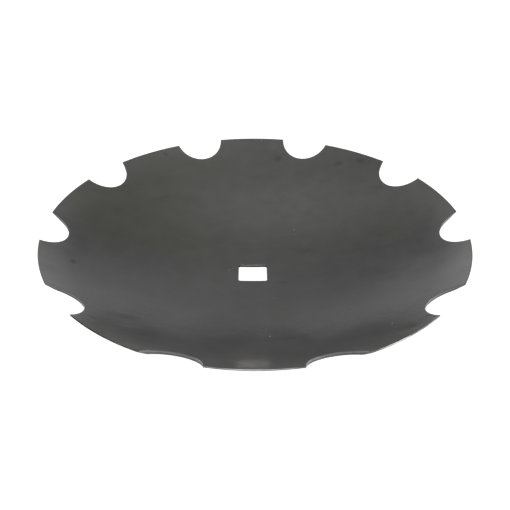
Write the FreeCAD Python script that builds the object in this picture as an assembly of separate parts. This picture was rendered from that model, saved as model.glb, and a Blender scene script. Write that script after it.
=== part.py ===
"""Notched disc blade of a disc harrow, pressed from one round steel plate.

The blade is a shallow spherical dish. Its rim is ground to a bevel on the outer,
convex side, which leaves a narrow flat edge, and is cut into lobes by ten round
notches. A square hole in the middle takes the gang axle.

The frame: Z is the blade's axis and the dish opens upwards. The blade lies on the
lower edge of its axle hole, at Z = 0. The hole's sides lie along X and Y, and the
middle of one lobe lies on +Y. Lengths are in millimetres.
"""

import FreeCAD, Part

import math
import os

Vector = FreeCAD.Vector

# Driving dimensions
RIM_DIAMETER = 610.0       # across the outermost edge of the lobes
DISH_RADIUS = 590.0        # spherical radius of the concave face
PLATE_THICKNESS = 5.0      # measured square to the plate
EDGE_LAND = 1.2            # flat edge that the bevel leaves at the rim
BEVEL_WIDTH = 15.0         # along the convex face, from the rim inwards
NOTCH_COUNT = 10
NOTCH_RADIUS = 40.0
NOTCH_DEPTH = 33.0         # from the rim circle to the bottom of a notch
AXLE_HOLE_SIDE = 42.5      # passes a 41 mm square axle
AXLE_HOLE_CORNER = 3.0     # corner radius of the hole
FIRST_LOBE_ANGLE = 90.0    # degrees from +X to the middle of the first lobe

# Worked out from them
RIM_RADIUS = RIM_DIAMETER / 2
OUTER_RADIUS = DISH_RADIUS + PLATE_THICKNESS
RIM_ANGLE = math.asin(RIM_RADIUS / (DISH_RADIUS + EDGE_LAND))
BEVEL_ANGLE = RIM_ANGLE - BEVEL_WIDTH / OUTER_RADIUS
CENTRE_HEIGHT = math.sqrt(OUTER_RADIUS ** 2 - (AXLE_HOLE_SIDE / 2) ** 2)
RIM_HEIGHT = CENTRE_HEIGHT - DISH_RADIUS * math.cos(RIM_ANGLE)


def on_sphere(radius, angle):
    """Point of the XZ plane on a sphere about the dish's centre.

    The angle, in radians, is measured at that centre from straight down.
    """
    return Vector(radius * math.sin(angle), 0, CENTRE_HEIGHT - radius * math.cos(angle))


def meridian(radius, from_angle, to_angle):
    """Arc of a sphere about the dish's centre, in the XZ plane."""
    middle = (from_angle + to_angle) / 2
    points = [on_sphere(radius, angle) for angle in (from_angle, middle, to_angle)]
    return Part.Arc(*points).toShape()


def dished_plate():
    """The round plate, pressed to a dish and ground to its bevel, without openings."""
    pole_inside = on_sphere(DISH_RADIUS, 0)
    pole_outside = on_sphere(OUTER_RADIUS, 0)
    rim_inside = on_sphere(DISH_RADIUS, RIM_ANGLE)
    rim_outside = on_sphere(DISH_RADIUS + EDGE_LAND, RIM_ANGLE)
    bevel_start = on_sphere(OUTER_RADIUS, BEVEL_ANGLE)
    section = Part.Wire([
        meridian(DISH_RADIUS, 0, RIM_ANGLE),
        Part.makeLine(rim_inside, rim_outside),
        Part.makeLine(rim_outside, bevel_start),
        meridian(OUTER_RADIUS, BEVEL_ANGLE, 0),
        Part.makeLine(pole_outside, pole_inside),
    ])
    return Part.Face(section).revolve(Vector(0, 0, 0), Vector(0, 0, 1), 360)


def axle_hole():
    """Square punch for the axle hole, longer than the plate is thick."""
    reach = 3 * PLATE_THICKNESS
    punch = Part.makeBox(
        AXLE_HOLE_SIDE, AXLE_HOLE_SIDE, 2 * reach,
        Vector(-AXLE_HOLE_SIDE / 2, -AXLE_HOLE_SIDE / 2, -reach),
    )
    upright_edges = [edge for edge in punch.Edges if abs(edge.tangentAt(edge.FirstParameter).z) > 0.5]
    return punch.makeFillet(AXLE_HOLE_CORNER, upright_edges)


def notch_punches():
    """Round punches, parallel to the axis, one between each two lobes."""
    centre = Vector(RIM_RADIUS - NOTCH_DEPTH + NOTCH_RADIUS, 0, 0)
    pitch = 360 / NOTCH_COUNT
    punches = []
    for index in range(NOTCH_COUNT):
        punch = Part.makeCylinder(NOTCH_RADIUS, RIM_HEIGHT + PLATE_THICKNESS, centre)
        punch.rotate(Vector(0, 0, 0), Vector(0, 0, 1), FIRST_LOBE_ANGLE + (index + 0.5) * pitch)
        punches.append(punch)
    return punches


def disc_blade():
    """The finished blade, as one solid."""
    return dished_plate().cut([axle_hole()] + notch_punches())


def main():
    """Writes the blade's STEP file."""
    os.makedirs("parts", exist_ok=True)
    blade = disc_blade()
    if not blade.isValid() or len(blade.Solids) != 1:
        raise RuntimeError("the blade is not one valid solid")
    blade.Solids[0].exportStep("parts/disc_blade.step")


if __name__ == "__main__":
    main()
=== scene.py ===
"""Finishes the notched harrow disc blade and sets it on a glowing light table.

The blade's skin is one closed mesh with the plate's true sections: the dished faces, the
bevelled rim with its narrow land, and the punched walls of the notches and the axle
hole. Lengths are in metres, apart from named values in millimetres times MM.
"""

import logging
import math
from dataclasses import dataclass
from enum import Enum

import bpy
import numpy as np
from mathutils import Matrix, Vector, noise

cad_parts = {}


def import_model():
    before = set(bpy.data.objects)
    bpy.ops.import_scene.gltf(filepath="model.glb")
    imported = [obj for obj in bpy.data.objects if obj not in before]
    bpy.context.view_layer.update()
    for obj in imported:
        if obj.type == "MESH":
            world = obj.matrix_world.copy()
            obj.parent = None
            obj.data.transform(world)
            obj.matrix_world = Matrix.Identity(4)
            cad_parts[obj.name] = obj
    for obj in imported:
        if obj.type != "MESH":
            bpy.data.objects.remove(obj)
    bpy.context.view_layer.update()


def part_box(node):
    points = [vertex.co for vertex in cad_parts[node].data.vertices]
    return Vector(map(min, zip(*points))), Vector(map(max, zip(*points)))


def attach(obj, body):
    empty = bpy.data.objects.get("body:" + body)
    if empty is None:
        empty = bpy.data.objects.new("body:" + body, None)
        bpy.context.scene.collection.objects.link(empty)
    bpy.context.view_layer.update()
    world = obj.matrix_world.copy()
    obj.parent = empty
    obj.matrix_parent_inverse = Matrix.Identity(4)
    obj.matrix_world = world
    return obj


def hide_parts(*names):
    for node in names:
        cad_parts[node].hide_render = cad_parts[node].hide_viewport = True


LOG = logging.getLogger("disc_blade")
MM = 0.001
Colour = tuple[float, float, float]
Socket = bpy.types.NodeSocket
Number = float | Socket


class Finish(Enum):
    """The skin's finishes, numbered by their material slots."""

    FILM = 0
    GROUND_LAND = 1
    SHEARED_WALL = 2
    PIERCED_WALL = 3


def eased(value: np.ndarray, low: float, high: float) -> np.ndarray:
    """Eases from 0 at low to 1 at high.

    Args:
        value: The numbers to ease.
        low: Where the result is 0.
        high: Where the result is 1.

    Returns:
        Numbers from 0 to 1.
    """
    share = np.clip((value - low) / (high - low), 0.0, 1.0)
    return share * share * (3.0 - 2.0 * share)


@dataclass(frozen=True)
class BladeSizes:
    """Sizes of the blade. The rim's radius comes from the frame."""

    rim_radius: float
    dish_radius: float = 590.0 * MM
    plate: float = 5.0 * MM
    edge_land: float = 1.5 * MM
    bevel_width: float = 15.0 * MM
    notch_count: int = 10
    notch_radius: float = 40.0 * MM
    notch_depth: float = 33.0 * MM
    hole_side: float = 42.5 * MM
    hole_corner: float = 3.0 * MM
    first_lobe: float = math.pi / 2

    @property
    def outer_radius(self) -> float:
        """Spherical radius of the outer face."""
        return self.dish_radius + self.plate

    @property
    def rim_angle(self) -> float:
        """Angle between straight down and the rim, at the dish's centre."""
        return math.asin(self.rim_radius / (self.dish_radius + self.edge_land))

    @property
    def centre_height(self) -> float:
        """Height of the dish's centre over the floor."""
        return math.sqrt(self.outer_radius ** 2 - (self.hole_side / 2) ** 2)

    @property
    def hollow_rim(self) -> float:
        """Radius of the rim's edge on the hollow side."""
        return self.dish_radius * math.sin(self.rim_angle)

    @property
    def bevel_start(self) -> float:
        """Radius where the bevel leaves the outer face."""
        return self.outer_radius * math.sin(self.rim_angle - self.bevel_width / self.outer_radius)

    @property
    def notch_centre(self) -> float:
        """Distance between a notch's centre and the blade's axis."""
        return self.rim_radius - self.notch_depth + self.notch_radius

    def hollow_height(self, radius: np.ndarray) -> np.ndarray:
        """Height of the hollow face at a distance from the axis."""
        return self.centre_height - np.sqrt(self.dish_radius ** 2 - radius ** 2)

    def outer_height(self, radius: np.ndarray) -> np.ndarray:
        """Height of the outer face, with its bevel.

        Args:
            radius: Distances from the axis.

        Returns:
            One height for each distance.
        """
        sphere = self.centre_height - np.sqrt(self.outer_radius ** 2 - radius ** 2)
        start = self.bevel_start
        low = self.centre_height - math.sqrt(self.outer_radius ** 2 - start ** 2)
        high = self.centre_height - (self.dish_radius + self.edge_land) * math.cos(self.rim_angle)
        bevel = low + (high - low) * (radius - start) / (self.rim_radius - start)
        return np.where(radius > start, bevel, sphere)


@dataclass
class BladeSkin:
    """The blade's visible skin as one closed mesh. Offsets are in millimetres.

    Rings of points run round the blade, over its hollow face, down the hole's wall, back
    over its outer face and up the rim. Near the rim a ring keeps a set distance from the
    lobes and notches, in the middle it is a circle, and at the hole it is a square with
    round corners. Points are complex numbers in the XY plane until they get a height.
    """

    sizes: BladeSizes
    name: str = "blade_skin"
    lobe_points: int = 24
    notch_points: int = 25
    rollover: float = 0.8 * MM
    rollover_drop: float = 0.4 * MM
    lobe_rollover: float = 0.25
    fracture_start: float = 0.45
    fracture_flare: float = 0.25 * MM
    fracture_grain: float = 0.15 * MM
    wave_height: float = 0.2 * MM
    wave_length: float = 85.0 * MM
    open_ring: float = 195.0 * MM
    hub_ring: float = 50.0 * MM
    edge_offsets: tuple[float, ...] = (
        0, 0.1, 0.27, 0.5, 0.8, 1.4, 2.4, 3.8, 6, 9, 12, 16, 20, 25, 31, 38, 46)
    hole_offsets: tuple[float, ...] = (16, 11, 7.5, 5, 3.2, 2, 1.3, 0.8, 0.5, 0.27, 0.1, 0)
    wall_shares: tuple[float, ...] = (0.04, 0.15, 0.3, 0.44, 0.5, 0.58, 0.68, 0.78, 0.88, 0.97)
    open_rings: int = 24
    rim_blend: tuple[float, ...] = (0.2, 0.4, 0.6, 0.8)
    hole_blend: tuple[float, ...] = (0.35, 0.7)
    grain_size: float = 1.6 * MM
    grain_drift: float = 4
    edge_reach: float = 3.0
    far_from_edge: float = 99.0
    bevel_blend: float = 0.4 * MM
    sharp_angle: float = 35

    @property
    def sector(self) -> int:
        """Count of points in one ring from lobe to lobe."""
        return self.lobe_points + self.notch_points - 2

    def outline(self, rim: float, notch: float) -> np.ndarray:
        """Ring along the lobes and notches.

        Args:
            rim: Radius of the lobes' ends.
            notch: Radius of the notches.

        Returns:
            The ring's points.
        """
        pitch = 2 * math.pi / self.sizes.notch_count
        centre = self.sizes.notch_centre
        half_gap = math.acos((rim ** 2 + centre ** 2 - notch ** 2) / (2 * rim * centre))
        corner = math.atan2(rim * math.sin(half_gap), rim * math.cos(half_gap) - centre)
        lobe = np.linspace(-1, 1, self.lobe_points) * (pitch / 2 - half_gap)
        sweep = -np.linspace(corner, 2 * math.pi - corner, self.notch_points)[1:-1]
        lobe_arc = rim * np.exp(1j * lobe)
        notch_arc = (centre + notch * np.exp(1j * sweep)) * np.exp(0.5j * pitch)
        one = np.concatenate([lobe_arc, notch_arc])
        turns = np.exp(1j * (self.sizes.first_lobe + pitch * np.arange(self.sizes.notch_count)))
        return (turns[:, None] * one).ravel()

    def bearings(self) -> np.ndarray:
        """Directions of a circle's points, in step with the outline's.

        Returns:
            One angle in radians for each point.
        """
        step = 2 * math.pi / (self.sector * self.sizes.notch_count)
        places = np.arange(self.sector * self.sizes.notch_count) - (self.lobe_points - 1) / 2
        return self.sizes.first_lobe + step * places

    def circle(self, radius: float) -> np.ndarray:
        """Round ring about the blade's axis."""
        return radius * np.exp(1j * self.bearings())

    def square(self, offset: float) -> np.ndarray:
        """Ring at a set distance outside the axle hole.

        Args:
            offset: Distance from the hole's wall.

        Returns:
            The ring's points.
        """
        across = np.abs(np.cos(self.bearings()))
        along = np.abs(np.sin(self.bearings()))
        bend = self.sizes.hole_side / 2 - self.sizes.hole_corner
        flat = (self.sizes.hole_side / 2 + offset) / np.maximum(across, along)
        reach = bend * (across + along)
        inside = reach ** 2 - 2 * bend ** 2 + (self.sizes.hole_corner + offset) ** 2
        arc = reach + np.sqrt(np.maximum(inside, 0.0))
        on_flat = flat * np.minimum(across, along) <= bend
        return np.where(on_flat, flat, arc) * np.exp(1j * self.bearings())

    def face_rings(self, rim: float, widening: float) -> list[np.ndarray]:
        """Rings of one face, from the rim to the hole.

        Args:
            rim: Radius of the lobes' ends on this face.
            widening: How much the notches and the hole are wider on this face.

        Returns:
            The rings in order.
        """
        rings = [self.outline(rim - step * MM, self.sizes.notch_radius + widening + step * MM)
                 for step in self.edge_offsets]
        edge, open_circle = rings[-1], self.circle(self.open_ring)
        rings += [edge + (open_circle - edge) * share for share in self.rim_blend]
        open_radii = np.linspace(self.open_ring, self.hub_ring, self.open_rings)
        rings += [self.circle(radius) for radius in open_radii]
        hub, collar = rings[-1], self.square(widening + self.hole_offsets[0] * MM)
        rings += [hub + (collar - hub) * share for share in self.hole_blend]
        rings += [self.square(widening + step * MM) for step in self.hole_offsets]
        return rings

    def edge_drop(self, rings: int) -> np.ndarray:
        """How far the punched edges of the hollow face are drawn down.

        Args:
            rings: Count of rings in the face.

        Returns:
            One depth for each ring and point.
        """
        steps = np.full(rings, math.inf)
        steps[:len(self.edge_offsets)] = np.array(self.edge_offsets) * MM
        steps[-len(self.hole_offsets):] = np.array(self.hole_offsets) * MM
        lean = np.clip(1 - steps / self.rollover, 0, 1)
        depth = self.rollover_drop * (1 - np.sqrt(1 - lean ** 2))
        at_lobe = np.tile(np.arange(self.sector) < self.lobe_points, self.sizes.notch_count)
        share = np.ones((rings, at_lobe.size))
        share[:len(self.edge_offsets)] = np.where(at_lobe, self.lobe_rollover, 1.0)
        return depth[:, None] * share

    def press_wave(self, points: np.ndarray) -> np.ndarray:
        """Shallow waves that the press left in the plate, none near its openings.

        Args:
            points: Points in the XY plane.

        Returns:
            One height for each point.
        """
        radius = np.abs(points)
        fade = eased(radius, self.hub_ring * 0.7, self.hub_ring * 1.8)
        fade *= 1 - eased(radius, self.open_ring, self.sizes.rim_radius - self.sizes.notch_depth)
        scaled = points / self.wave_length
        places = zip(scaled.real.ravel(), scaled.imag.ravel())
        waves = [noise.noise(Vector((x, y, 0.5))) for x, y in places]
        return self.wave_height * fade * np.reshape(waves, points.shape)

    def wall_points(self, top: np.ndarray, bottom: np.ndarray,
                    between: list[np.ndarray]) -> np.ndarray:
        """Rows of points down a wall, between its two edges.

        Args:
            top: Points of the upper edge, one row each.
            bottom: Points of the lower edge, one row each.
            between: Rings that give the rows their places in the XY plane.

        Returns:
            The rows, each with its points.
        """
        rows = []
        for share, ring in zip(self.wall_shares, between):
            height = top[:, 2] * (1 - share) + bottom[:, 2] * share
            rows.append(np.stack([ring.real, ring.imag, height], axis=1))
        return np.array(rows)

    def flare(self, share: float) -> float:
        """How much wider than punched a hole is at a share of the wall's depth."""
        return self.fracture_flare * float(eased(np.array(share), self.fracture_start, 1.0))

    def grain(self, ring: np.ndarray, share: float, seed: float) -> np.ndarray:
        """Roughness of the torn lower part of a punched wall.

        Args:
            ring: The wall's points in the XY plane.
            share: Their share of the wall's depth.
            seed: Picks one pattern.

        Returns:
            One distance for each point.
        """
        if share <= self.fracture_start:
            return np.zeros(ring.size)
        spots = ring / self.grain_size
        level = seed + share * self.grain_drift
        rough = [noise.noise(Vector((x, y, level))) for x, y in zip(spots.real, spots.imag)]
        return self.fracture_grain * np.maximum(np.array(rough), 0)

    def rim_wall(self) -> list[np.ndarray]:
        """Shapes the lands and notch walls.

        Returns:
            The rings from the upper edge to the lower one.
        """
        count = self.sizes.notch_count
        at_notch = np.tile(np.arange(self.sector) >= self.lobe_points, count)
        pitch = 2 * math.pi / count
        turns = np.exp(1j * (self.sizes.first_lobe + pitch * (np.arange(count) + 0.5)))
        centres = np.repeat(self.sizes.notch_centre * turns, self.sector)
        rings = []
        for share in self.wall_shares:
            rim = self.sizes.hollow_rim + (self.sizes.rim_radius - self.sizes.hollow_rim) * share
            ring = self.outline(rim, self.sizes.notch_radius + self.flare(share))
            away = (ring - centres) / np.abs(ring - centres)
            rings.append(ring + np.where(at_notch, self.grain(ring, share, 2.0), 0) * away)
        return rings

    def hole_wall(self) -> list[np.ndarray]:
        """Shapes the axle hole's wall.

        Returns:
            The rings from the upper edge to the lower one.
        """
        rings = []
        for share in self.wall_shares:
            ring = self.square(self.flare(share))
            rings.append(ring + self.grain(ring, share, 9.0) * ring / np.abs(ring))
        return rings

    def grid(self) -> tuple[np.ndarray, dict[str, np.ndarray]]:
        """All the skin's points, ring by ring.

        Returns:
            The points, and for each ring and point the shares that the finishes read.
        """
        hollow = np.array(self.face_rings(self.sizes.hollow_rim, 0.0))
        outer = np.array(self.face_rings(self.sizes.rim_radius, self.fracture_flare))
        faces = len(hollow)
        drop = self.edge_drop(faces)
        wave = self.press_wave(hollow)
        hollow_z = self.sizes.hollow_height(np.abs(hollow)) - drop + wave
        outer_z = self.sizes.outer_height(np.abs(outer)) + wave
        top = np.stack([hollow.real, hollow.imag, hollow_z], axis=2)
        under = np.stack([outer.real, outer.imag, outer_z], axis=2)
        hole = self.wall_points(top[-1], under[-1], self.hole_wall())
        rim = self.wall_points(top[0], under[0], self.rim_wall())
        points = np.concatenate([top, hole, under[::-1], rim[::-1]])
        walls = len(self.wall_shares)
        depth = np.concatenate([
            np.zeros(faces), self.wall_shares, np.ones(faces), self.wall_shares[::-1]])
        open_count = faces - len(self.edge_offsets) - len(self.hole_offsets)
        steps = np.concatenate([
            self.edge_offsets, np.full(open_count, self.far_from_edge), self.hole_offsets])
        near = 1 - eased(steps, 0.0, self.edge_reach)
        edge = np.concatenate([near, np.zeros(walls), near[::-1], np.zeros(walls)])
        radius = np.hypot(points[..., 0], points[..., 1])
        on_outer = np.concatenate([np.zeros(faces + walls), np.ones(faces + walls)])[:, None]
        start = self.sizes.bevel_start
        bevel = eased(radius, start - self.bevel_blend, start + self.bevel_blend) * on_outer
        across = np.ones(points.shape[1])
        shares = {
            "wall_depth": depth[:, None] * across,
            "edge_share": edge[:, None] * across,
            "bevel_share": bevel}
        return points, shares

    def finishes(self, rings: int) -> np.ndarray:
        """Material slot of each face of the mesh.

        Args:
            rings: Count of rings in the skin.

        Returns:
            One slot number for each face.
        """
        walls = len(self.wall_shares)
        faces = rings // 2 - walls
        slots = np.full((rings, self.sector * self.sizes.notch_count), Finish.FILM.value)
        slots[faces - 1:faces + walls] = Finish.PIERCED_WALL.value
        at_land = np.tile(np.arange(self.sector) < self.lobe_points - 1, self.sizes.notch_count)
        slots[-walls - 1:] = np.where(at_land, Finish.GROUND_LAND.value, Finish.SHEARED_WALL.value)
        return slots.ravel()

    def build(self, finishes: list[bpy.types.Material]) -> bpy.types.Object:
        """Makes the skin's object.

        Args:
            finishes: The materials in the order of Finish.

        Returns:
            The object, linked to the scene.
        """
        points, shares = self.grid()
        rings, around = points.shape[:2]
        index = np.arange(rings * around).reshape(rings, around)
        inner, ahead = np.roll(index, -1, axis=0), np.roll(index, -1, axis=1)
        corners = np.stack([index, ahead, np.roll(inner, -1, axis=1), inner], axis=2).reshape(-1, 4)
        mesh = bpy.data.meshes.new(self.name)
        mesh.from_pydata(points.reshape(-1, 3), [], corners)
        for finish in finishes:
            mesh.materials.append(finish)
        mesh.polygons.foreach_set("material_index", self.finishes(rings).astype(np.int32))
        for title, share in shares.items():
            layer = mesh.attributes.new(title, "FLOAT", "POINT")
            layer.data.foreach_set("value", share.ravel().astype(np.float32))
        mesh.shade_smooth()
        mesh.set_sharp_from_angle(angle=math.radians(self.sharp_angle))
        mesh.update()
        piece = bpy.data.objects.new(self.name, mesh)
        bpy.context.scene.collection.objects.link(piece)
        return piece


@dataclass(frozen=True)
class Cloud:
    """Cloudy noise turned into a number.

    Its patches are about size metres wide. The noise runs from low to high, and gives
    least to most there.
    """

    size: float
    low: float = 0.3
    high: float = 0.7
    least: float = 0.0
    most: float = 1.0
    detail: float = 3.0
    seed: float = 0.0


class Board:
    """A material's node tree with short ways to fill it."""

    def __init__(self, name: str) -> None:
        """Starts the material.

        Args:
            name: The material's name.
        """
        self.material = bpy.data.materials.new(name)
        self.material.use_nodes = True
        self.tree = self.material.node_tree
        self.shader = self.tree.nodes["Principled BSDF"]
        self.place = self.add("ShaderNodeTexCoord").outputs["Object"]

    def add(self, kind: str, inputs: dict[str | int, object] | None = None,
            **settings: object) -> bpy.types.Node:
        """Adds a node.

        Args:
            kind: Its Blender type.
            inputs: Values or sockets by input name or number.
            **settings: The node's own properties.

        Returns:
            The node.
        """
        node = self.tree.nodes.new(kind)
        for key, value in settings.items():
            setattr(node, key, value)
        for key, value in (inputs or {}).items():
            if isinstance(value, Socket):
                self.tree.links.new(value, node.inputs[key])
            else:
                node.inputs[key].default_value = value
        return node

    def noise(self, size: float, detail: float = 3.0, place: Socket | None = None,
              seed: float = 0.0) -> Socket:
        """Adds cloudy noise.

        Args:
            size: Width of its patches in metres, or in the place's own units.
            detail: How many finer layers it has.
            place: Where it is read, the object's own place if none is given.
            seed: Picks one pattern.

        Returns:
            The noise, mostly from 0.25 to 0.75.
        """
        node = self.add("ShaderNodeTexNoise", {
            "Vector": place or self.place, "W": seed, "Scale": 1 / size,
            "Detail": detail}, noise_dimensions="4D")
        return node.outputs["Fac"]

    def cloud(self, cloud: Cloud, place: Socket | None = None) -> Socket:
        """Adds noise as a cloud asks for it.

        Args:
            cloud: The noise and the numbers that it gives.
            place: Where it is read, the object's own place if none is given.

        Returns:
            A number from the cloud's least to its most.
        """
        noise_value = self.noise(cloud.size, cloud.detail, place, cloud.seed)
        return self.span(noise_value, cloud.low, cloud.high, cloud.least, cloud.most)

    def span(self, value: Number, low: float, high: float, out_low: float = 0.0,
             out_high: float = 1.0) -> Socket:
        """Eases from out_low at low to out_high at high, and holds the ends.

        Args:
            value: The number to ease.
            low: Where the result is out_low.
            high: Where the result is out_high.
            out_low: The result at and beyond low.
            out_high: The result at and beyond high.

        Returns:
            The eased number.
        """
        node = self.add("ShaderNodeMapRange", {
            "Value": value, "From Min": low, "From Max": high, "To Min": out_low,
            "To Max": out_high}, interpolation_type="SMOOTHSTEP")
        return node.outputs["Result"]

    def sum(self, operation: str, first: Number, second: Number) -> Socket:
        """Joins two numbers by a math operation."""
        return self.add("ShaderNodeMath", {0: first, 1: second}, operation=operation).outputs[0]

    def mix(self, share: Number, first: Colour | Socket, second: Colour | Socket,
            blend: str = "MIX") -> Socket:
        """Mixes two colours.

        Args:
            share: 0 gives the first colour and 1 the second.
            first: The first colour.
            second: The second colour.
            blend: How the second is laid over the first.

        Returns:
            The mixed colour.
        """
        node = self.add("ShaderNodeMix", {
            "Factor": share, 6: self._rgba(first), 7: self._rgba(second)},
            data_type="RGBA", blend_type=blend)
        return node.outputs[2]

    def grey(self, shade: Number) -> Socket:
        """Makes a grey from one number."""
        return self.add("ShaderNodeCombineColor", {0: shade, 1: shade, 2: shade}).outputs[0]

    def coordinate(self, axis: int) -> Socket:
        """Place along one axis of the object: 0 for X and 1 for Y."""
        return self.add("ShaderNodeSeparateXYZ", {0: self.place}).outputs[axis]

    @staticmethod
    def _rgba(colour: Colour | Socket) -> tuple[float, float, float, float] | Socket:
        """Gives a plain colour its fourth channel and leaves a socket as it is."""
        return colour if isinstance(colour, Socket) else (*colour, 1.0)

    def ring_place(self, across: float, along: float) -> Socket:
        """Place measured round the blade's axis, for marks that run in arcs.

        Args:
            across: Distance between arcs that stands for 1, in metres.
            along: Angle along an arc that stands for 1, in radians.

        Returns:
            A place with the distance from the axis first and the angle second.
        """
        parts = self.add("ShaderNodeSeparateXYZ", {0: self.place}).outputs
        flat = self.add("ShaderNodeCombineXYZ", {0: parts[0], 1: parts[1]}).outputs[0]
        reach = self.add("ShaderNodeVectorMath", {0: flat}, operation="LENGTH").outputs["Value"]
        angle = self.sum("ARCTAN2", parts[1], parts[0])
        return self.add("ShaderNodeCombineXYZ", {0: self.sum("DIVIDE", reach, across),
                                                 1: self.sum("DIVIDE", angle, along)}).outputs[0]

    def stretched(self, length: float, width: float, turn: float = 0.0) -> Socket:
        """Place for marks that are drawn out in one direction, in metres and radians."""
        return self.add("ShaderNodeMapping", {
            "Vector": self.place, "Rotation": (0, 0, turn),
            "Scale": (length, width, 1.0)}, vector_type="TEXTURE").outputs[0]

    def patch(self, mark: "Mark", ragged: Socket) -> Socket:
        """Share that a mark has at each place.

        Args:
            mark: The mark.
            ragged: Noise that breaks up its outline.

        Returns:
            0 outside the mark and its strength in the middle.
        """
        inside = self.add("ShaderNodeMapping", {
            "Vector": self.place, "Location": (mark.x * MM, mark.y * MM, 0),
            "Rotation": (0, 0, math.radians(mark.turn)),
            "Scale": (mark.length * MM, mark.width * MM, 1.0)}, vector_type="TEXTURE").outputs[0]
        reach = self.add("ShaderNodeVectorMath", {0: inside}, operation="LENGTH").outputs["Value"]
        reach = self.add("ShaderNodeMath", {0: ragged, 1: mark.ragged, 2: reach},
                         operation="MULTIPLY_ADD").outputs[0]
        outer = 1.0 + mark.ragged / 2
        return self.span(reach, outer, outer - mark.softness, 0.0, mark.strength)

    def attribute(self, title: str) -> Socket:
        """A share that the skin's mesh carries."""
        return self.add("ShaderNodeAttribute", attribute_name=title).outputs["Fac"]

    def bump(self, height: Socket, distance: float, below: Socket | None = None) -> Socket:
        """Adds a bump.

        Args:
            height: Its height from 0 to 1.
            distance: Its depth in metres at 1.
            below: Another bump that it lies on.

        Returns:
            The surface's direction.
        """
        inputs = {"Height": height, "Distance": distance, "Strength": 1.0}
        if below is not None:
            inputs["Normal"] = below
        return self.add("ShaderNodeBump", inputs).outputs["Normal"]

    def wire(self, **sockets: object) -> None:
        """Feeds the shader.

        Args:
            **sockets: Values or sockets by input name, with underscores for spaces.
        """
        for key, value in sockets.items():
            name = key.replace("_", " ")
            if isinstance(value, Socket):
                self.tree.links.new(value, self.shader.inputs[name])
            else:
                self.shader.inputs[name].default_value = value


class Tone(Enum):
    """Colours of the marks on the film."""

    SOOT = (0.022, 0.0225, 0.020)
    BLUE_GREY = (0.062, 0.062, 0.070)
    OLIVE = (0.046, 0.049, 0.036)
    WARM = (0.090, 0.078, 0.071)
    RUST = (0.060, 0.040, 0.032)
    PALE = (0.080, 0.080, 0.078)


@dataclass(frozen=True)
class Mark:
    """One mark on the hollow face: place, half sizes in millimetres, and turn in degrees."""

    x: float
    y: float
    length: float
    width: float
    tone: Tone
    strength: float
    turn: float = 0.0
    softness: float = 0.9
    ragged: float = 0.8


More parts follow.
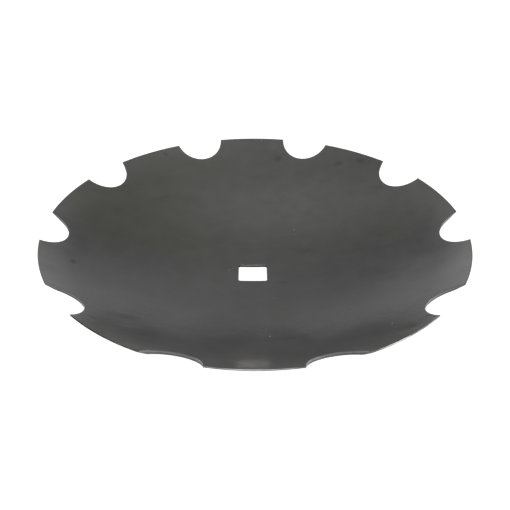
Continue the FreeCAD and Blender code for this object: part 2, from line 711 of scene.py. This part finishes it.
@dataclass(frozen=True)
class SteelFilm:
    """Dark hardened steel under a thin satin film, with marks of use and storage.

    The film is yellower on the far half.
    """

    olive: Colour = (0.0520, 0.0540, 0.0430)
    slate: Colour = (0.0500, 0.0495, 0.0510)
    # Near-black colour of the bevel under the rim: painted shade.
    bevel: Colour = (0.0140, 0.0140, 0.0135)
    worn: Colour = (0.100, 0.100, 0.097)
    wear_start: float = 255.0 * MM
    wear_end: float = 304.0 * MM
    streak_length: float = 60.0 * MM
    streak_width: float = 6.0 * MM
    roughness: Cloud = Cloud(0.05, least=0.16, most=0.25, detail=4.0, seed=6.0)
    streak_roughness: Cloud = Cloud(1.0, least=-0.02, most=0.02, seed=6.0)
    smudge_roughness: float = 0.06
    bevel_roughness: float = 0.35
    shine: Cloud = Cloud(0.022, least=0.455, most=0.535, detail=6.0, seed=9.0)
    smudge_shine: float = 0.25
    bevel_shine: float = 0.15
    swell_size: float = 12.0 * MM
    swell_depth: float = 0.04 * MM
    turning_scale: float = 130.0
    turning_depth: float = 0.2 * MM
    tint_size: float = 75.0 * MM
    tint_drift: float = 0.22
    tint_start: float = 0.11
    tint_end: float = 0.17
    mottle: Cloud = Cloud(0.03, 0.28, 0.72, 0.92, 1.06, detail=7.0, seed=1.2)
    streak_shade: Cloud = Cloud(1.0, 0.25, 0.75, 0.97, 1.03, seed=6.0)
    arc_shade: Cloud = Cloud(1.0, 0.25, 0.75, 0.97, 1.03, seed=2.0)
    arc_width: float = 9.0 * MM
    arc_angle: float = 0.5
    ragged_size: float = 11.0 * MM
    rim_wear: float = 0.75
    wear_patches: Cloud = Cloud(0.04, 0.3, 0.6, 0.55, 1.0, detail=5.0, seed=4.4)
    wearless_smudge: float = 0.5
    far_start: float = 40.0 * MM
    far_end: float = 140.0 * MM
    far_wear: float = 0.35
    edge_wear: float = 0.5
    marks: tuple[Mark, ...] = (
        Mark(-292, -12, 40, 62, Tone.PALE, 0.6, softness=1.2, ragged=0.4),
        Mark(-215, 195, 70, 40, Tone.PALE, 0.35, turn=45, softness=1.2, ragged=0.6),
        Mark(0, -262, 110, 30, Tone.PALE, 0.3, softness=1.0, ragged=0.6),
        Mark(-253, -58, 6, 8, Tone.SOOT, 0.75, ragged=0.3),
        Mark(-166, -168, 34, 13, Tone.SOOT, 0.5, turn=6),
        Mark(-196, -196, 26, 7, Tone.SOOT, 0.3, turn=-20),
        Mark(-150, -196, 30, 5, Tone.PALE, 0.35, turn=4),
        Mark(-120, -205, 60, 14, Tone.SOOT, 0.2),
        Mark(185, -215, 26, 16, Tone.SOOT, 0.4, turn=10),
        Mark(212, -200, 14, 8, Tone.SOOT, 0.4),
        Mark(150, -185, 30, 8, Tone.SOOT, 0.25, turn=12),
        Mark(245, 5, 10, 10, Tone.SOOT, 0.25),
        Mark(228, -66, 9, 7, Tone.SOOT, 0.25),
        Mark(85, 48, 26, 11, Tone.SOOT, 0.3, turn=-4),
        Mark(45, -28, 14, 6, Tone.SOOT, 0.35, turn=-8),
        Mark(-8, -172, 14, 4, Tone.SOOT, 0.4),
        Mark(128, -126, 5, 2, Tone.SOOT, 0.7, turn=20, ragged=0.3),
        Mark(112, -132, 3, 2, Tone.SOOT, 0.6, ragged=0.3),
        Mark(150, 232, 12, 9, Tone.SOOT, 0.35),
        Mark(186, 226, 24, 12, Tone.SOOT, 0.35, turn=-28, ragged=1.6),
        Mark(222, 196, 22, 10, Tone.SOOT, 0.35, turn=-35, ragged=1.6),
        Mark(205, 160, 26, 9, Tone.SOOT, 0.22, turn=-30, ragged=1.4),
        Mark(120, 205, 20, 7, Tone.SOOT, 0.22, turn=-10, ragged=1.4),
        Mark(256, 132, 26, 10, Tone.BLUE_GREY, 0.35, turn=-50, ragged=1.4),
        Mark(46, 262, 11, 10, Tone.SOOT, 0.4),
        Mark(40, 288, 17, 13, Tone.BLUE_GREY, 0.55, ragged=1.2),
        Mark(-150, 262, 13, 7, Tone.BLUE_GREY, 0.4, ragged=1.2),
        Mark(-152, 252, 9, 6, Tone.SOOT, 0.3, ragged=1.2),
        Mark(-125, 180, 16, 4, Tone.RUST, 0.25, turn=35, ragged=1.2),
        Mark(-150, 160, 44, 5, Tone.SOOT, 0.2, turn=32, ragged=1.2),
        Mark(-262, 130, 22, 14, Tone.BLUE_GREY, 0.35, turn=50, ragged=1.4),
        Mark(-235, 150, 20, 12, Tone.OLIVE, 0.6, turn=30, ragged=1.4),
        Mark(0, -277, 24, 17, Tone.WARM, 0.9, softness=0.4, ragged=0.3),
        Mark(-14, -60, 22, 12, Tone.OLIVE, 0.7, ragged=1.4),
        Mark(34, -128, 26, 28, Tone.OLIVE, 0.6, ragged=1.6),
        Mark(155, -128, 12, 8, Tone.OLIVE, 0.6, ragged=1.4),
        Mark(-96, -36, 34, 22, Tone.OLIVE, 0.5, ragged=1.6),
        Mark(-90, -140, 20, 16, Tone.OLIVE, 0.4, ragged=1.6))

    def material(self) -> bpy.types.Material:
        """Builds the finish.

        Returns:
            The material.
        """
        board = Board("steel_film")
        colour, smudges = self.colour(board)
        bevel = board.attribute("bevel_share")
        # Paints the bevel near black: painted shade under the rim.
        colour = board.mix(bevel, colour, self.bevel)
        streaks = board.stretched(self.streak_length, self.streak_width)
        rough = board.cloud(self.roughness)
        rough = board.sum("ADD", rough, board.cloud(self.streak_roughness, streaks))
        rough = board.sum("ADD", rough, board.sum("MULTIPLY", smudges, self.smudge_roughness))
        rough = board.sum("ADD", rough, board.sum("MULTIPLY", bevel, self.bevel_roughness))
        shine = board.cloud(self.shine)
        for cover, least in ((smudges, self.smudge_shine), (bevel, self.bevel_shine)):
            shine = board.sum("MULTIPLY", shine, board.span(cover, 0.0, 1.0, 1.0, least))
        swell = board.noise(self.swell_size, detail=2.0, seed=4.0)
        turned = board.add("ShaderNodeTexWave", {
            "Vector": board.place, "Scale": self.turning_scale, "Distortion": 1.5, "Detail": 1.0},
            wave_type="RINGS", rings_direction="Z").outputs["Fac"]
        turned = board.sum("MULTIPLY", turned, bevel)
        relief = board.bump(turned, self.turning_depth, board.bump(swell, self.swell_depth))
        board.wire(Base_Color=colour, Roughness=rough, Normal=relief, Specular_IOR_Level=shine,
                   Metallic=0.0, IOR=1.5)
        return board.material

    def colour(self, board: Board) -> tuple[Socket, Socket]:
        """Colours the film.

        Args:
            board: The material.

        Returns:
            The colour, and the share of dark smudges.
        """
        far = board.coordinate(1)
        drift = board.noise(self.tint_size, detail=6.0, seed=3.1)
        edge = board.add("ShaderNodeMath", {0: drift, 1: self.tint_drift, 2: far},
                         operation="MULTIPLY_ADD").outputs[0]
        colour = board.mix(board.span(edge, self.tint_start, self.tint_end), self.slate, self.olive)
        streaks = board.stretched(self.streak_length, self.streak_width)
        arcs = board.ring_place(self.arc_width, self.arc_angle)
        shade = board.cloud(self.mottle)
        shade = board.sum("MULTIPLY", shade, board.cloud(self.streak_shade, streaks))
        shade = board.sum("MULTIPLY", shade, board.cloud(self.arc_shade, arcs))
        colour = board.mix(1.0, colour, board.grey(shade), "MULTIPLY")
        ragged = board.noise(self.ragged_size, detail=4.0, seed=8.0)
        smudges = None
        for mark in self.marks:
            share = board.patch(mark, ragged)
            colour = board.mix(share, colour, mark.tone.value)
            if mark.tone is Tone.SOOT:
                smudges = share if smudges is None else board.sum("MAXIMUM", smudges, share)
        wear = self.wear(board, smudges, far)
        return board.mix(wear, colour, self.worn), smudges

    def wear(self, board: Board, smudges: Socket, far: Socket) -> Socket:
        """Wears the film off towards the rim and at the punched edges.

        Args:
            board: The material.
            smudges: Share of dark smudges, which keep the film under them.
            far: Place along the axis that runs to the far half.

        Returns:
            Share of the film that is worn.
        """
        flat = board.add("ShaderNodeVectorMath", {0: board.place, 1: (1, 1, 0)},
                         operation="MULTIPLY").outputs[0]
        reach = board.add("ShaderNodeVectorMath", {0: flat}, operation="LENGTH").outputs["Value"]
        rim = board.span(reach, self.wear_start, self.wear_end, 0.0, self.rim_wear)
        kept = board.span(smudges, 0.0, self.wearless_smudge, 1.0, 0.0)
        less = board.span(far, self.far_start, self.far_end, 1.0, self.far_wear)
        for share in (board.cloud(self.wear_patches), kept, less):
            rim = board.sum("MULTIPLY", rim, share)
        edge = board.sum("MULTIPLY", board.attribute("edge_share"), self.edge_wear)
        return board.sum("MAXIMUM", rim, edge)


@dataclass(frozen=True)
class GroundLand:
    """Bare steel on the rim's narrow land: a painted highlight makes the upper part of the near lobe's land
    bright, and painted shade darkens the others.
    """

    # Painted highlight colour for the near lobe's land, and painted shade colour for all the other land.
    painted_highlight: Colour = (0.58, 0.57, 0.54)
    painted_shade: Colour = (0.035, 0.0345, 0.033)
    near_lobe: float = -255.0 * MM
    near_blend: float = 15.0 * MM
    highlight_depth: float = 0.62
    depth_blend: float = 0.08
    patches: Cloud = Cloud(0.018, 0.30, 0.55, 0.45, 1.0, detail=5.0, seed=2.0)
    roughness: Cloud = Cloud(0.004, least=0.26, most=0.40, detail=4.0, seed=7.0)
    scratch_size: float = 1.2 * MM
    scratch_depth: float = 0.03 * MM

    def material(self) -> bpy.types.Material:
        """Builds the finish.

        Returns:
            The material.
        """
        board = Board("ground_land")
        # Painted highlight: the land is bright only on the near lobe, at Y below near_lobe, and only on the
        # upper part of its wall. Everywhere else it is painted dark as painted shade.
        near, depth = self.near_lobe, self.highlight_depth
        near_lobe_lit = board.span(board.coordinate(1), near + self.near_blend, near - self.near_blend)
        upper = board.span(board.attribute("wall_depth"), depth + self.depth_blend,
                           depth - self.depth_blend)
        share = board.sum("MULTIPLY", board.sum("MULTIPLY", near_lobe_lit, upper), board.cloud(self.patches))
        scratches = board.noise(self.scratch_size)
        board.wire(Base_Color=board.mix(share, self.painted_shade, self.painted_highlight),
                   Roughness=board.cloud(self.roughness), Metallic=1.0,
                   Normal=board.bump(scratches, self.scratch_depth))
        return board.material


@dataclass(frozen=True)
class ShearedWall:
    """Punched wall: burnished where the punch went in, torn below, with a few pits, and where asked painted
    shadow towards its ends in X.
    """

    burnished: Colour = (0.135, 0.135, 0.132)
    torn: Colour = (0.085, 0.085, 0.082)
    pit_and_shadow: Colour = (0.025, 0.025, 0.025)
    # Distance along X past which the wall is painted dark as painted shadow; 0 paints none. The pit colour
    # serves both the pits and this painted shadow.
    painted_shadow_ends: float = 0.0
    torn_shine: float = 0.3
    burnished_shine: float = 0.5
    shadow_blend: float = 3.0 * MM
    ragged_edge: Cloud = Cloud(0.006, 0.2, 0.8, -0.13, 0.13, detail=4.0, seed=1.0)
    torn_start: float = 0.40
    torn_end: float = 0.54
    pits: Cloud = Cloud(0.0035, 0.70, 0.76, detail=2.0, seed=4.0)
    burnished_roughness: float = 0.4
    torn_roughness: float = 0.65
    grain_size: float = 2.2 * MM
    grain_depth: float = 0.08 * MM

    def material(self, name: str) -> bpy.types.Material:
        """Builds the finish.

        Args:
            name: The material's name.

        Returns:
            The material.
        """
        board = Board(name)
        depth = board.sum("ADD", board.attribute("wall_depth"), board.cloud(self.ragged_edge))
        torn = board.span(depth, self.torn_start, self.torn_end)
        colour = board.mix(torn, self.burnished, self.torn)
        spots = board.cloud(self.pits)
        # Painted shadow: beyond the set distance along X the wall takes the pit colour, on the hole's side
        # walls and round corners.
        if self.painted_shadow_ends:
            side = board.sum("ABSOLUTE", board.coordinate(0), 0.0)
            ends = board.span(side, self.painted_shadow_ends - self.shadow_blend, self.painted_shadow_ends)
            spots = board.sum("MAXIMUM", spots, ends)
        colour = board.mix(spots, colour, self.pit_and_shadow)
        rough = board.span(torn, 0.0, 1.0, self.burnished_roughness, self.torn_roughness)
        dulled = board.sum("MAXIMUM", torn, spots)
        shine = board.span(dulled, 0.0, 1.0, self.burnished_shine, self.torn_shine)
        grain = board.noise(self.grain_size, seed=3.0)
        board.wire(Base_Color=colour, Roughness=rough, Specular_IOR_Level=shine, Metallic=0.0,
                   Normal=board.bump(grain, self.grain_depth))
        return board.material


@dataclass
class DustFlakes:
    """Tiny pale flakes of dried dust and scale that lie in the dish and on its far rim."""

    sizes: BladeSizes
    name: str = "dust_flakes"
    places: tuple[tuple[float, float, float], ...] = (
        (68, 103, 1.0), (67, 91, 0.8), (-36, 5, 0.9), (-31, 10, 0.5), (192, -91, 0.5), (30, -71, 0.6),
        (21, -184, 0.6), (170, -124, 0.5), (170, -193, 0.6), (17, 300, 0.9), (172, -208, 0.5))
    corners: int = 9
    thickness: float = 0.35 * MM
    stretch: float = 1.3
    raggedness: float = 0.55
    layers: tuple[tuple[float, float], ...] = ((0.0, 1.0), (0.6, 0.9), (1.0, 0.45))
    shade: Colour = (0.36, 0.345, 0.30)
    mottle: Cloud = Cloud(0.0015, least=0.75, most=1.1, seed=3.0)
    roughness: Cloud = Cloud(0.001, least=0.8, most=0.95, detail=2.0, seed=5.0)

    def flake(self, number: int) -> tuple[list[tuple[float, float, float]], list[tuple[int, ...]]]:
        """Makes one flake.

        Args:
            number: The flake's place in the list.

        Returns:
            Its points and its faces.
        """
        x, y, size = self.places[number]
        ring = []
        for step in range(self.corners):
            turn = 2 * math.pi * step / self.corners
            bulge = noise.noise(Vector((number * 3.7, step * 1.9, 0.4)))
            reach = size * MM * (1.0 + self.raggedness * bulge)
            across = x * MM + self.stretch * reach * math.cos(turn)
            ring.append((across, y * MM + reach * math.sin(turn)))
        points = []
        for lift, spread in self.layers:
            for flat in ring:
                across = x * MM + (flat[0] - x * MM) * spread
                along = y * MM + (flat[1] - y * MM) * spread
                height = float(self.sizes.hollow_height(np.array(math.hypot(across, along))))
                points.append((across, along, height + lift * self.thickness))
        count = self.corners
        faces = [tuple(reversed(range(count))), tuple(range(2 * count, 3 * count))]
        for row in range(len(self.layers) - 1):
            for step in range(count):
                after = (step + 1) % count
                faces.append((row * count + step, row * count + after, (row + 1) * count + after,
                              (row + 1) * count + step))
        return points, faces

    def finish(self) -> bpy.types.Material:
        """Builds the flakes' chalky finish.

        Returns:
            The material.
        """
        board = Board("dry_dust")
        grey = board.grey(board.cloud(self.mottle))
        board.wire(Base_Color=board.mix(1.0, self.shade, grey, "MULTIPLY"),
                   Roughness=board.cloud(self.roughness))
        return board.material

    def build(self) -> bpy.types.Object:
        """Makes the flakes' object.

        Returns:
            The object, linked to the scene.
        """
        points, faces = [], []
        for number in range(len(self.places)):
            start = len(points)
            new_points, new_faces = self.flake(number)
            points += new_points
            faces += [tuple(start + corner for corner in face) for face in new_faces]
        mesh = bpy.data.meshes.new(self.name)
        mesh.from_pydata(points, [], faces)
        mesh.materials.append(self.finish())
        mesh.update()
        piece = bpy.data.objects.new(self.name, mesh)
        bpy.context.scene.collection.objects.link(piece)
        return piece


@dataclass(frozen=True)
class SoftLight:
    """A large soft lamp, far from the blade.

    Its bearing is in degrees from straight behind the blade, clockwise from above, its
    height in degrees over the floor, and its spread is the angle at which it fades.
    """

    bearing: float
    height: float
    strength: float
    spread: float = 11.0

    def glow(self, tree: bpy.types.NodeTree, direction: Socket) -> Socket:
        """Adds the lamp to the room.

        Args:
            tree: The room's node tree.
            direction: The direction in which the room is looked at.

        Returns:
            The lamp's strength in that direction.
        """
        turn, tilt = math.radians(self.bearing), math.radians(self.height)
        near = tree.nodes.new("ShaderNodeVectorMath")
        near.operation = "DOT_PRODUCT"
        flat = math.cos(tilt)
        near.inputs[1].default_value = (math.sin(turn) * flat, math.cos(turn) * flat, math.sin(tilt))
        tree.links.new(direction, near.inputs[0])
        tight = 1 / math.radians(self.spread) ** 2
        fade = tree.nodes.new("ShaderNodeMath")
        fade.operation = "MULTIPLY_ADD"
        fade.inputs[1].default_value = tight
        fade.inputs[2].default_value = math.log(self.strength) - tight
        tree.links.new(near.outputs["Value"], fade.inputs[0])
        lamp = tree.nodes.new("ShaderNodeMath")
        lamp.operation = "EXPONENT"
        tree.links.new(fade.outputs[0], lamp.inputs[0])
        return lamp.outputs[0]


@dataclass
class Studio:
    """Light table, soft lights and the camera.

    The lights' rows were worked out by a separate solver, rounded and typed in, all but the
    last. They are not a rig set by hand, and report.md says what is open about them. The
    camera's values come from a fit as well, apart from the focal length's last digits.
    """

    sizes: BladeSizes
    lights: tuple[SoftLight, ...] = (
        SoftLight(336, 3, 12.3, 7), SoftLight(0, 3, 0.3, 12), SoftLight(24, 3, 7.8, 7),
        SoftLight(96, 3, 33.0, 7), SoftLight(342, 13, 1.7, 7), SoftLight(6, 13, 0.2, 7),
        SoftLight(325, 24, 2.8, 8), SoftLight(7, 24, 0.42, 8), SoftLight(0, 36, 0.55, 8),
        SoftLight(48, 36, 0.68, 8), SoftLight(320, 48, 0.9, 9), SoftLight(340, 48, 0.2, 9),
        SoftLight(26, 48, 0.32, 12), SoftLight(282, 62, 0.4, 10), SoftLight(334, 62, 0.4, 10),
        SoftLight(0, 62, 1.2, 10), SoftLight(66, 62, 0.5, 12), SoftLight(90, 77, 1.4, 11),
        SoftLight(270, 77, 1.45, 11), SoftLight(180, 8, 0.6, 18), SoftLight(180, 35, 3.0, 9))
    table_half: float = 40.0
    table_shade: float = 0.3
    table_glow: float = 1.0
    azimuth: float = 1.82
    elevation: float = 33.44
    roll: float = 1.03
    distance: float = 3.44786
    aim_right: float = -0.11295
    aim_down: float = -0.08795
    focal: float = 48.98
    shift: float = 0.049
    sensor_width: float = 36.0
    nearest_seen: float = 0.01
    farthest_seen: float = 100.0

    def floor(self) -> None:
        """Lays the light table that the blade stands on."""
        mesh = bpy.data.meshes.new("floor")
        half = self.table_half * self.sizes.rim_radius
        square = [(-half, -half, 0), (half, -half, 0), (half, half, 0), (-half, half, 0)]
        mesh.from_pydata(square, [], [(0, 1, 2, 3)])
        board = Board("light_table")
        shade = (self.table_shade, self.table_shade, self.table_shade, 1)
        board.wire(Base_Color=shade, Roughness=0.9, Emission_Color=(1, 1, 1, 1),
                   Emission_Strength=self.table_glow)
        mesh.materials.append(board.material)
        floor = bpy.data.objects.new("floor", mesh)
        bpy.context.scene.collection.objects.link(floor)

    def camera(self) -> None:
        """Places the camera and makes it the scene's own."""
        turn, tilt = math.radians(self.azimuth), math.radians(self.elevation)
        ahead = Vector((-math.sin(turn) * math.cos(tilt), math.cos(turn) * math.cos(tilt), -math.sin(tilt)))
        level = Vector((math.cos(turn), math.sin(turn), 0))
        down = ahead.cross(level)
        spin = math.radians(self.roll)
        right = level * math.cos(spin) + down * math.sin(spin)
        down = down * math.cos(spin) - level * math.sin(spin)
        pole = Vector((0, 0, self.sizes.centre_height - self.sizes.dish_radius))
        radius = self.sizes.rim_radius
        aim = pole + (right * self.aim_right + down * self.aim_down) * radius
        data = bpy.data.cameras.new("camera")
        data.sensor_width = self.sensor_width
        data.lens = self.focal
        data.shift_x = self.shift
        data.clip_start = self.nearest_seen
        data.clip_end = self.farthest_seen
        camera = bpy.data.objects.new("camera", data)
        camera.matrix_world = Matrix((
            (right.x, -down.x, -ahead.x, 0), (right.y, -down.y, -ahead.y, 0),
            (right.z, -down.z, -ahead.z, 0), (0, 0, 0, 1)))
        camera.matrix_world.translation = aim - ahead * self.distance * radius
        bpy.context.scene.collection.objects.link(camera)
        bpy.context.scene.camera = camera

    def light(self) -> None:
        """Hangs the soft lights round the blade, in a room that the camera sees as white."""
        world = bpy.data.worlds.new("studio")
        bpy.context.scene.world = world
        world.use_nodes = True
        tree = world.node_tree
        direction = tree.nodes.new("ShaderNodeTexCoord").outputs["Generated"]
        total = None
        for light in self.lights:
            glow = light.glow(tree, direction)
            total = glow if total is None else self.join(tree, "ADD", total, glow)
        seen = tree.nodes.new("ShaderNodeLightPath").outputs["Is Camera Ray"]
        total = self.join(tree, "MAXIMUM", total, seen)
        tree.links.new(total, tree.nodes["Background"].inputs["Strength"])
        tree.nodes["Background"].inputs["Color"].default_value = (1, 1, 1, 1)
        bpy.context.scene.view_settings.view_transform = "Standard"

    @staticmethod
    def join(tree: bpy.types.NodeTree, operation: str, first: Socket, second: Socket) -> Socket:
        """Joins two numbers in the room's node tree.

        Args:
            tree: The room's node tree.
            operation: The math operation.
            first: The first number.
            second: The second number.

        Returns:
            The result.
        """
        node = tree.nodes.new("ShaderNodeMath")
        node.operation = operation
        tree.links.new(first, node.inputs[0])
        tree.links.new(second, node.inputs[1])
        return node.outputs[0]


def corners(box: tuple[Vector, Vector]) -> list[list[float]]:
    """A box's two corners as plain lists."""
    return [list(corner) for corner in box]


def main() -> None:
    """Builds the blade's skin and the studio round it."""
    logging.basicConfig(level=logging.INFO, format="%(message)s")
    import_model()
    low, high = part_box("disc_blade")
    sizes = BladeSizes(rim_radius=(high.y - low.y) / 2)
    skin = BladeSkin(sizes).build([
        SteelFilm().material(), GroundLand().material(), ShearedWall().material("sheared_wall"),
        # The axle hole's wall: its torn lower part is near black, torn steel in part and painted shade in
        # part, and its ends carry painted shadow.
        ShearedWall(burnished=(0.17, 0.165, 0.155), torn=(0.012, 0.012, 0.012), painted_shadow_ends=sizes.hole_side / 2,
                    torn_shine=0.05).material("pierced_wall_painted_shade")])
    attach(skin, "root")
    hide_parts("disc_blade")
    LOG.info("blade_skin: %d faces", len(skin.data.polygons))
    flakes = DustFlakes(sizes).build()
    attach(flakes, "root")
    LOG.info("dust_flakes: %d faces", len(flakes.data.polygons))
    studio = Studio(sizes)
    studio.floor()
    studio.camera()
    studio.light()
    LOG.info("studio: floor, camera and light")


if __name__ == "__main__":
    main()
